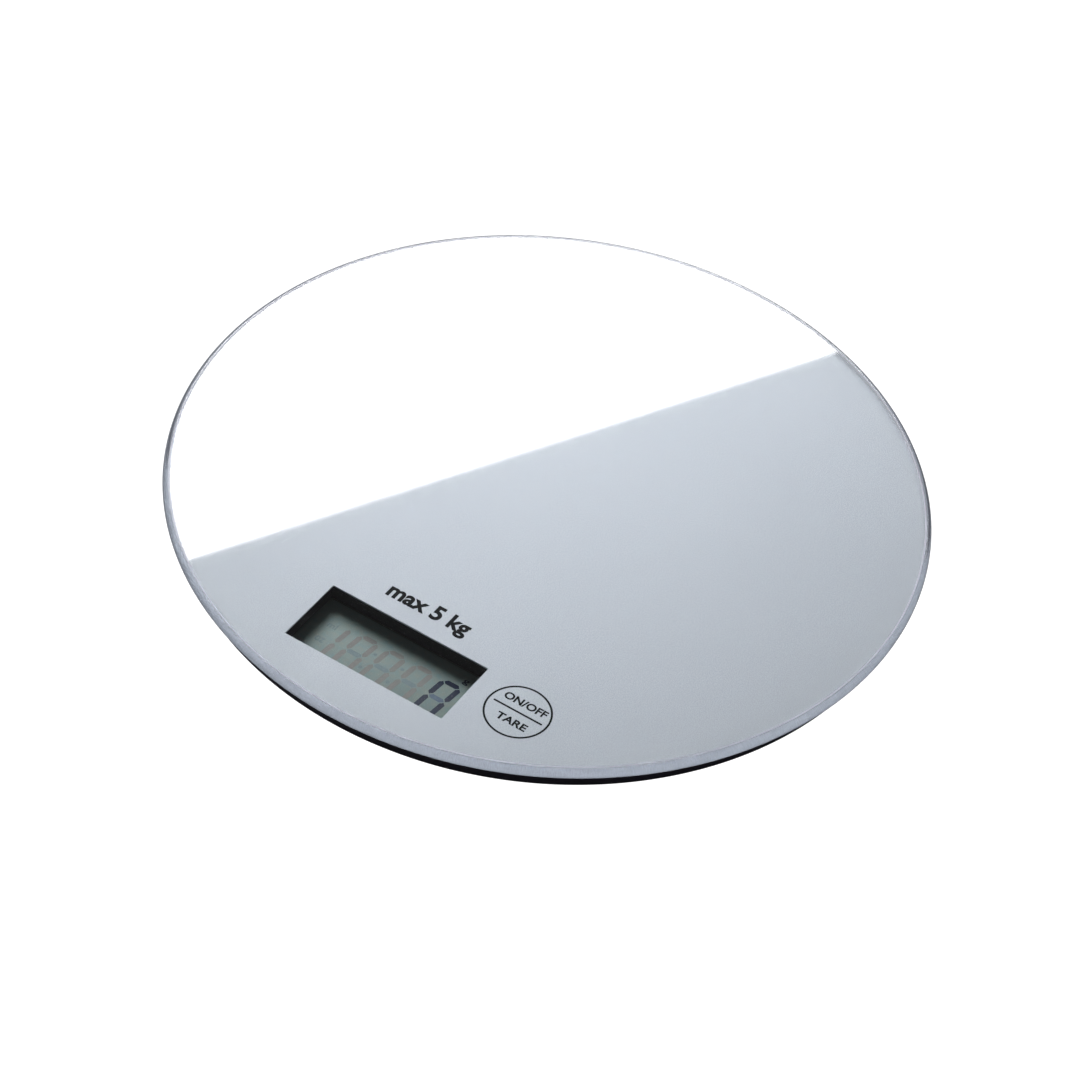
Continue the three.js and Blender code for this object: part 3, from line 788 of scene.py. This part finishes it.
# Ribs, bosses and the well stand on the floor; low beads ring each opening underneath.
SEAT_OUTER, SEAT_INNER = 12.5 * MM, 10.2 * MM
cell_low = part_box("load_cell_front_left")[0].z
clamp_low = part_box("cell_clamp_front_left")[0].z
board_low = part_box("circuit_board")[0].z
pad_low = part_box("bonding_pad_middle")[0].z
GAP = 0.3 * MM
root = TRAY_FLOOR_TOP - 0.4 * MM
fittings = []
for station in STATIONS:
    c = foot_centres[station]
    frame_rib = block(
        "seat",
        (c.x - SEAT_OUTER, c.y - SEAT_OUTER, root),
        (c.x + SEAT_OUTER, c.y + SEAT_OUTER, cell_low - GAP),
        corner=0.6 * MM,
    )
    seat_inside = block(
        "seat_inside",
        (c.x - SEAT_INNER, c.y - SEAT_INNER, 0),
        (c.x + SEAT_INNER, c.y + SEAT_INNER, cell_low),
    )
    cut_out(frame_rib, seat_inside)
    fittings.append(frame_rib)
    fittings.append(
        bead("foot_bead", c, 9.5 * MM, 10.6 * MM, tray_low.z - 0.35 * MM, tray_low.z + 0.1 * MM)
    )
screw_nodes = [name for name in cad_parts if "_screw_" in name]
for name in screw_nodes:
    boss_top = (clamp_low if name.startswith("clamp") else board_low) - GAP
    boss = plug("boss", middle_of(name), 2.6 * MM, root, boss_top, steps=24)
    cut_out(boss, plug("boss_hole", middle_of(name), 1.2 * MM, 4.4 * MM, boss_top + MM, steps=16))
    fittings.append(boss)
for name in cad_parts:
    if name.startswith("bonding_pad"):
        c = middle_of(name)
        for half_x, half_y in ((5 * MM, 0.7 * MM), (0.7 * MM, 5 * MM)):
            rib_low = (c.x - half_x, c.y - half_y, root)
            rib_high = (c.x + half_x, c.y + half_y, pad_low - GAP)
            fittings.append(block("pad_rib", rib_low, rib_high))
wall = Vector((WELL_WALL, WELL_WALL, 0))
well = block(
    "well",
    well_low - wall + Vector((0, 0, root)),
    (*(well_high + wall).xy, WELL_ROOF[1]),
    corner=2 * MM,
)
cut_out(
    well,
    block("well_inside", well_low, well_high, corner=0.8 * MM),
    block(
        "lead_slot",
        (well_centre.x - 4.5 * MM, well_low.y - 3 * MM, 5.4 * MM),
        (well_centre.x + 4.5 * MM, well_low.y + MM, WELL_ROOF[0]),
    ),
)
fittings.append(well)
fittings.append(
    bead(
        "key_bead", unit_key_centre, 5.1 * MM, 5.9 * MM, tray_low.z - 0.25 * MM, tray_low.z + 0.1 * MM
    )
)
joined(tray, *fittings)

# A fine spark texture spreads the gloss, so the black looks slightly grey and dry.
black_abs = new_material("spark_textured_black_abs")
spark = grain(black_abs, 0.35 * MM, detail=4.0)
surface(
    black_abs,
    Base_Color=between(black_abs, spark, "#343139", "#3f3c46"),
    rough=(spark, 0.45, 0.58),
    Specular_IOR_Level=0.3,
    relief=(spark, 0.02 * MM),
)
wear(tray, black_abs, replaces=["tray"])

# A word moulded in low relief beside the unit key tells what it does.
unit_word = printed_word(
    "unit_key_word",
    "UNIT",
    -4 * MM,
    0,
    8 * MM,
    2.4 * MM,
    bold=0.02,
    low=tray_low.z - 0.15 * MM,
    high=tray_low.z + 0.1 * MM,
)
bpy.ops.object.select_all(action="DESELECT")
unit_word.select_set(True)
bpy.ops.transform.mirror(constraint_axis=(True, False, False), center_override=(0, 0, 0))
bpy.ops.transform.translate(value=(unit_key_centre.x, unit_key_centre.y - 10.5 * MM, 0))
bpy.ops.object.transform_apply(location=True, rotation=True, scale=True)
bpy.ops.object.mode_set(mode="EDIT")
finish_edit()
wear(unit_word, black_abs)


# ---- Bonding pads -----------------------------------------------------------------------------------
# White closed-cell foam tape, 1 mm thick, that holds the tray to the printed back of the glass.

# Dull off-white, pitted by its cells.
foam = new_material("white_closed_cell_foam")
cells = grain(foam, 0.3 * MM, detail=2.0)
surface(
    foam,
    relief=(cells, 0.05 * MM),
    Base_Color=between(foam, cells, "#e4e2da", "#f2f1ea"),
    Roughness=0.9,
    Specular_IOR_Level=0.2,
)


def refinish(material, *nodes):
    """Give modelled nodes that keep their shape a better material."""
    for name in nodes:
        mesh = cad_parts[name].data
        mesh.materials.clear()
        mesh.materials.append(material)


pads = [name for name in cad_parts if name.startswith("bonding_pad")]
refinish(foam, "display_cushion", *pads)


# ---- Load-cell stations -----------------------------------------------------------------------------
# A stamped spring-steel cell with a foil strain gauge on its tongue, pressed onto the tray's rib frame
# by a nylon clamp and two self-tapping screws. Its lead runs to the circuit board.

# Bright plating over rolled strip: streaks run the way the strip was rolled.
ROLL_MARK = 1.11 * MM
spring_steel = new_material("zinc_plated_spring_steel")
roll_place = add_node(spring_steel, "ShaderNodeTexCoord").outputs["Object"]
roll_stretch = add_node(
    spring_steel, "ShaderNodeMapping", {"Vector": roll_place, "Scale": (1, 12, 1)}
).outputs[0]
roll_marks = add_node(
    spring_steel,
    "ShaderNodeTexNoise",
    {"Vector": roll_stretch, "Scale": 1 / ROLL_MARK, "Detail": 3.0},
).outputs["Fac"]
surface(
    spring_steel,
    rough=(roll_marks, 0.28, 0.4),
    Base_Color=between(spring_steel, roll_marks, "#b2b5b8", "#c7cacc"),
    Metallic=1.0,
)
refinish(spring_steel, *(f"load_cell_{station}" for station in STATIONS))

# Amber varnish over fine foil lines. A wave texture at scale 1 has a band every 2 pi / 20 metres.
WAVE_BAND = 2 * pi / 20
FOIL_PITCH = 0.349 * MM
gauge_film = new_material("varnished_foil_gauge")
foil_place = add_node(gauge_film, "ShaderNodeTexCoord").outputs["Object"]
foil = add_node(
    gauge_film,
    "ShaderNodeTexWave",
    {"Vector": foil_place, "Scale": WAVE_BAND / FOIL_PITCH},
    bands_direction="X",
).outputs["Fac"]
foil_colour = between(gauge_film, foil, "#7d5f2a", "#c9a04e")
surface(gauge_film, Base_Color=foil_colour, Roughness=0.3, Coat_Weight=0.6)
refinish(gauge_film, *(f"strain_gauge_{station}" for station in STATIONS))

# Unpigmented, so cream-coloured and a little waxy.
nylon = new_material("natural_nylon")
nylon_grain = grain(nylon, 0.8 * MM)
surface(nylon, Base_Color=between(nylon, nylon_grain, "#dedacb", "#e9e6da"), Roughness=0.5, IOR=1.53)
refinish(nylon, *(f"cell_clamp_{station}" for station in STATIONS))

# Soft sheaths with a dull gloss, one for each colour of lead.
SHEATHS = [
    ("white", "#d2d2cd", "#e0e0dc"),
    ("red", "#9c1d17", "#b5261f"),
    ("black", "#121213", "#1b1b1c"),
]
pvc = {}
for sheath, dark, pale in SHEATHS:
    pvc[sheath] = new_material(f"{sheath}_pvc_sheath")
    sheath_colour = between(pvc[sheath], grain(pvc[sheath], 1.0 * MM), dark, pale)
    surface(pvc[sheath], Base_Color=sheath_colour, Roughness=0.45, IOR=1.53)
refinish(pvc["white"], *(f"cell_lead_{station}" for station in STATIONS))

# The same pan-head screw with a cross recess stands in every boss, bright with a slight mottle.
zinc = new_material("zinc_plated_screw")
zinc_grain = grain(zinc, 0.4 * MM)
surface(
    zinc,
    rough=(zinc_grain, 0.25, 0.38),
    Base_Color=between(zinc, zinc_grain, "#a9adb1", "#c3c7c9"),
    Metallic=1.0,
)


def screw(name, node, length):
    """A self-tapping screw in the place of a node: threaded shank, pan head, cross recess."""
    centre = middle_of(node)
    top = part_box(node)[1].z
    seat = top - 1.0 * MM
    shaft = [(0, seat - length), (0.3 * MM, seat - length)]
    turns = int(length / (0.6 * MM)) - 1
    for i in range(turns):
        z = seat - length + (0.7 + 0.6 * i) * MM
        shaft += [(0.65 * MM, z), (0.9 * MM, z + 0.25 * MM), (0.65 * MM, z + 0.5 * MM)]
    head = [
        (0.8 * MM, seat),
        (1.8 * MM, seat),
        (1.85 * MM, seat + 0.35 * MM),
        (1.5 * MM, seat + 0.8 * MM),
        (0.9 * MM, top),
        (0, top),
    ]
    piece = turned(name, shaft + head, centre=centre.xy, steps=24, smooth=50)
    arm, width, depth = 1.0 * MM, 0.22 * MM, 0.55 * MM
    slots = [
        block(
            slot,
            (centre.x - half_x, centre.y - half_y, top - depth),
            (centre.x + half_x, centre.y + half_y, top + MM),
        )
        for slot, half_x, half_y in (("slot_a", arm, width), ("slot_b", width, arm))
    ]
    cut_out(piece, *slots)
    return piece


for name in screw_nodes:
    length = 5 * MM if name.startswith("clamp") else 4 * MM
    wear(screw(f"{name}_cut", name, length), zinc, replaces=[name])


# ---- Feet -------------------------------------------------------------------------------------------
# Each foot is a dark ABS cup whose post presses on a load cell from below, with a moulded rubber pad
# glued into it. It floats in its hole in the tray, so all the weight goes through the cells.

# Charcoal rather than black, with hardly any shine.
rubber = new_material("moulded_black_rubber")
rubber_grain = grain(rubber, 0.5 * MM)
surface(
    rubber,
    rough=(rubber_grain, 0.75, 0.9),
    relief=(rubber_grain, 0.02 * MM),
    Base_Color=between(rubber, rubber_grain, "#232224", "#2d2c2e"),
    Specular_IOR_Level=0.3,
)

CUP_RADIUS = 8.8 * MM
CUP_RECESS = 8.05 * MM
CUP_FLANGE = 10 * MM
POST_RADIUS = 2.5 * MM
PAD_RADIUS = 7.8 * MM
PAD_GROOVES = (4.0 * MM, 5.6 * MM)
flange_low = TRAY_FLOOR_TOP + GAP
for station in STATIONS:
    centre = foot_centres[station]
    cup_low, cup_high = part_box(f"foot_carrier_{station}")
    pad_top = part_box(f"foot_pad_{station}")[1].z
    cup_outline = [
        (0, pad_top + GAP),
        (CUP_RECESS, pad_top + GAP),
        (CUP_RECESS, cup_low.z + 0.15 * MM),
        (CUP_RECESS + 0.15 * MM, cup_low.z),
        (CUP_RADIUS - 0.25 * MM, cup_low.z),
        (CUP_RADIUS, cup_low.z + 0.25 * MM),
        (CUP_RADIUS, flange_low),
        (CUP_FLANGE, flange_low),
        (CUP_FLANGE, flange_low + MM),
        (POST_RADIUS + 0.4 * MM, flange_low + MM),
        (POST_RADIUS, flange_low + 1.3 * MM),
        (POST_RADIUS, cup_high.z - 0.4 * MM),
        (POST_RADIUS - 0.4 * MM, cup_high.z),
        (0, cup_high.z),
    ]
    cup = turned(f"foot_cup_{station}", cup_outline, centre=centre.xy)
    wear(
        cup,
        well_plastic,
        body=f"foot_{station}",
        replaces=[f"foot_carrier_{station}"],
    )
    pad_outline = [(0, 0.25 * MM), (2.2 * MM, 0.25 * MM), (2.5 * MM, 0)]
    for groove in PAD_GROOVES:
        pad_outline += [
            (groove - 0.35 * MM, 0),
            (groove - 0.2 * MM, 0.4 * MM),
            (groove + 0.2 * MM, 0.4 * MM),
            (groove + 0.35 * MM, 0),
        ]
    pad_outline += arc(PAD_RADIUS - 0.5 * MM, 0.5 * MM, 0.5 * MM, -90, 0, 5)
    pad_outline += [(PAD_RADIUS, pad_top), (0, pad_top)]
    pad = turned(f"foot_rubber_{station}", pad_outline, centre=centre.xy)
    wear(
        pad,
        rubber,
        body=f"foot_{station}",
        replaces=[f"foot_pad_{station}"],
    )


# ---- Circuit board ----------------------------------------------------------------------------------
# A single-sided board in green solder mask over copper tracks, with the chip under a drop of black
# epoxy, the unit switch below, and the spring that carries the touch key's field up to the glass.

# Glossy green, paler along the copper tracks under it.
TRACK_UNIT = 6.25 * MM
TRACK_LENGTH = 5.625 * MM
TRACK_ROW = 2.1875 * MM
TRACK_WIDTH = 0.1875 * MM
board_finish = new_material("green_solder_mask")
tracks = add_node(
    board_finish,
    "ShaderNodeTexBrick",
    {
        "Vector": add_node(board_finish, "ShaderNodeTexCoord").outputs["Object"],
        "Color1": linear("#1d6a3c"),
        "Color2": linear("#1a6438"),
        "Mortar": linear("#2f8a52"),
        "Scale": 1 / TRACK_UNIT,
        "Mortar Size": TRACK_WIDTH / TRACK_UNIT,
        "Brick Width": TRACK_LENGTH / TRACK_UNIT,
        "Row Height": TRACK_ROW / TRACK_UNIT,
    },
).outputs["Color"]
surface(board_finish, Base_Color=tracks, Roughness=0.35, Coat_Weight=0.4)
refinish(board_finish, "circuit_board")

# Poured, so black with a wet gloss.
epoxy = new_material("black_potting_epoxy")
epoxy_grain = grain(epoxy, 2 * MM)
epoxy_colour = between(epoxy, epoxy_grain, "#0e0e10", "#161618")
surface(epoxy, Base_Color=epoxy_colour, Roughness=0.25, Coat_Weight=0.5)
refinish(epoxy, "chip_cap", "unit_switch")

# Warm and brighter than zinc.
nickel = new_material("nickel_plated_strip")
nickel_grain = grain(nickel, 0.6 * MM)
surface(
    nickel,
    rough=(nickel_grain, 0.18, 0.3),
    Base_Color=between(nickel, nickel_grain, "#c4beb0", "#d8d3c6"),
    Metallic=1.0,
)
refinish(nickel, "touch_spring", "inner_contact", "side_contact")

# Amber film with darker conductors running along it.
CONDUCTOR_PITCH = 1.013 * MM
polyimide = new_material("polyimide_ribbon")
ribbon_place = add_node(polyimide, "ShaderNodeTexCoord").outputs["Object"]
ribbon_tracks = add_node(
    polyimide,
    "ShaderNodeTexWave",
    {"Vector": ribbon_place, "Scale": WAVE_BAND / CONDUCTOR_PITCH},
    bands_direction="X",
).outputs["Fac"]
ribbon_colour = between(polyimide, ribbon_tracks, "#a8691f", "#5b3a14")
surface(polyimide, Base_Color=ribbon_colour, Roughness=0.35)
refinish(polyimide, "display_ribbon")


# ---- Coin cell and its leads --------------------------------------------------------------------------
# A 20 mm stainless coin cell with its cup towards the hatch, marked with a plus sign, and two PVC leads.

coin_low, coin_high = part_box("coin_cell")
coin_radius = (coin_high.x - coin_low.x) / 2
can_outline = [(0, coin_low.z)]
can_outline += arc(coin_radius - 0.4 * MM, coin_low.z + 0.4 * MM, 0.4 * MM, -90, 0, 5)
can_outline += [(coin_radius, coin_high.z - 0.7 * MM), (coin_radius - 0.3 * MM, coin_high.z - 0.45 * MM)]
can_outline += [(coin_radius - 1.0 * MM, coin_high.z - 0.45 * MM)]
can_outline += [(coin_radius - 1.2 * MM, coin_high.z), (0, coin_high.z)]
can = turned("coin_cell_can", can_outline, centre=well_centre.xy, steps=96)
plus_arm, plus_width = 3.2 * MM, 0.5 * MM
for half_x, half_y in ((plus_arm, plus_width), (plus_width, plus_arm)):
    plus_bar = block(
        "plus",
        (well_centre.x - half_x, well_centre.y - half_y, coin_low.z - MM),
        (well_centre.x + half_x, well_centre.y + half_y, coin_low.z + 0.12 * MM),
    )
    cut_out(can, plus_bar)

# Fine turning rings about its own centre, which catch the light as it tilts.
TURNING_PITCH = 0.449 * MM
stainless = new_material("turned_stainless_can")
turning_place = add_node(stainless, "ShaderNodeTexCoord").outputs["Object"]
turning_shift = -Vector((well_centre.x, well_centre.y, 0))
turning_centre = add_node(
    stainless, "ShaderNodeMapping", {"Vector": turning_place, "Location": turning_shift}
).outputs[0]
turning = add_node(
    stainless,
    "ShaderNodeTexWave",
    {"Vector": turning_centre, "Scale": WAVE_BAND / TURNING_PITCH, "Distortion": 1.0},
    wave_type="RINGS",
    rings_direction="Z",
).outputs["Fac"]
surface(
    stainless,
    rough=(turning, 0.24, 0.32),
    Base_Color=between(stainless, turning, "#bdbfc1", "#cfd1d2", 0.0, 1.0),
    Metallic=1.0,
)
wear(can, stainless, replaces=["coin_cell"])
refinish(pvc["red"], "red_lead")
refinish(pvc["black"], "black_lead")


# ---- Hatch and unit key -------------------------------------------------------------------------------
# The hatch snaps into the tray on two pins moulded on its barrel, and a sprung tongue latches it at the
# thumb notch. It is the tray's textured ABS; the unit key, a dished cap held by a flange, is satin.

hatch_low, hatch_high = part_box("battery_hatch")
HATCH_THICKNESS = 1.5 * MM
BARREL_RADIUS = 0.75 * MM
PIN_RADIUS = 0.45 * MM
hatch_width = WELL_SIZE.x - 2 * GAP
hinge_y = hatch_high.y - BARREL_RADIUS
hinge_z = tray_low.z + HATCH_THICKNESS / 2


def rod(name, radius, length):
    """A rounded bar along X on the hatch's hinge line."""
    bpy.ops.object.select_all(action="DESELECT")
    bpy.ops.mesh.primitive_cylinder_add(
        vertices=32,
        radius=radius,
        depth=length,
        rotation=(0, pi / 2, 0),
        location=(well_centre.x, hinge_y, hinge_z),
    )
    piece = bpy.context.object
    piece.name = name
    bpy.ops.object.transform_apply(location=True, rotation=True, scale=True)
    round_edges(piece, 0.1 * MM, segments=2)
    return piece


left, right = well_centre.x - hatch_width / 2, well_centre.x + hatch_width / 2
hatch = block(
    "hatch_moulding",
    (left, hatch_low.y, tray_low.z),
    (right, hinge_y, tray_low.z + HATCH_THICKNESS),
    corner=0.6 * MM,
)
grip_cuts = []
GRIPS = 6
for i in range(GRIPS):
    y = hatch_low.y + (2.6 + 1.3 * i) * MM
    half_grip = (6 - 0.6 * i) * MM
    grip_cuts.append(
        block(
            "grip",
            (well_centre.x - half_grip, y, tray_low.z - MM),
            (well_centre.x + half_grip, y + 0.65 * MM, tray_low.z + 0.35 * MM),
            corner=0.3 * MM,
        )
    )
cut_out(hatch, *grip_cuts)
round_edges(hatch, 0.12 * MM, segments=2)
latch_y = hatch_low.y + 0.7 * MM
HALF_LATCH = 4.5 * MM
latch = block(
    "latch",
    (well_centre.x - HALF_LATCH, latch_y, tray_low.z + MM),
    (well_centre.x + HALF_LATCH, latch_y + MM, hatch_high.z),
    edge=0.12 * MM,
)
hook = block(
    "hook",
    (well_centre.x - HALF_LATCH, latch_y - 0.35 * MM, hatch_high.z - MM),
    (well_centre.x + HALF_LATCH, latch_y + 0.3 * MM, hatch_high.z - 0.4 * MM),
    edge=0.1 * MM,
)
barrel = rod("barrel", BARREL_RADIUS, hatch_width)
pin = rod("pin", PIN_RADIUS, hatch_high.x - hatch_low.x)
joined(hatch, latch, hook, barrel, pin)
wear(hatch, black_abs, body="battery_hatch", replaces=["battery_hatch"])

key_low, key_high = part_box("unit_key")
KEY_RADIUS = 4.2 * MM
key_flange = key_high.x - unit_key_centre.x
key_step = key_high.z - 0.5 * MM
key_outline = [
    (0, key_low.z + 0.35 * MM),
    (1.4 * MM, key_low.z + 0.28 * MM),
    (2.6 * MM, key_low.z + 0.1 * MM),
    (3.2 * MM, key_low.z),
]
key_outline += arc(KEY_RADIUS - 0.4 * MM, key_low.z + 0.4 * MM, 0.4 * MM, -90, 0, 6)
key_outline += [(KEY_RADIUS, key_step), (key_flange, key_step)]
key_outline += [(key_flange, key_high.z), (0, key_high.z)]
unit_key = turned("unit_key_cap", key_outline, centre=unit_key_centre.xy)
wear(unit_key, well_plastic, body="unit_key", replaces=["unit_key"])
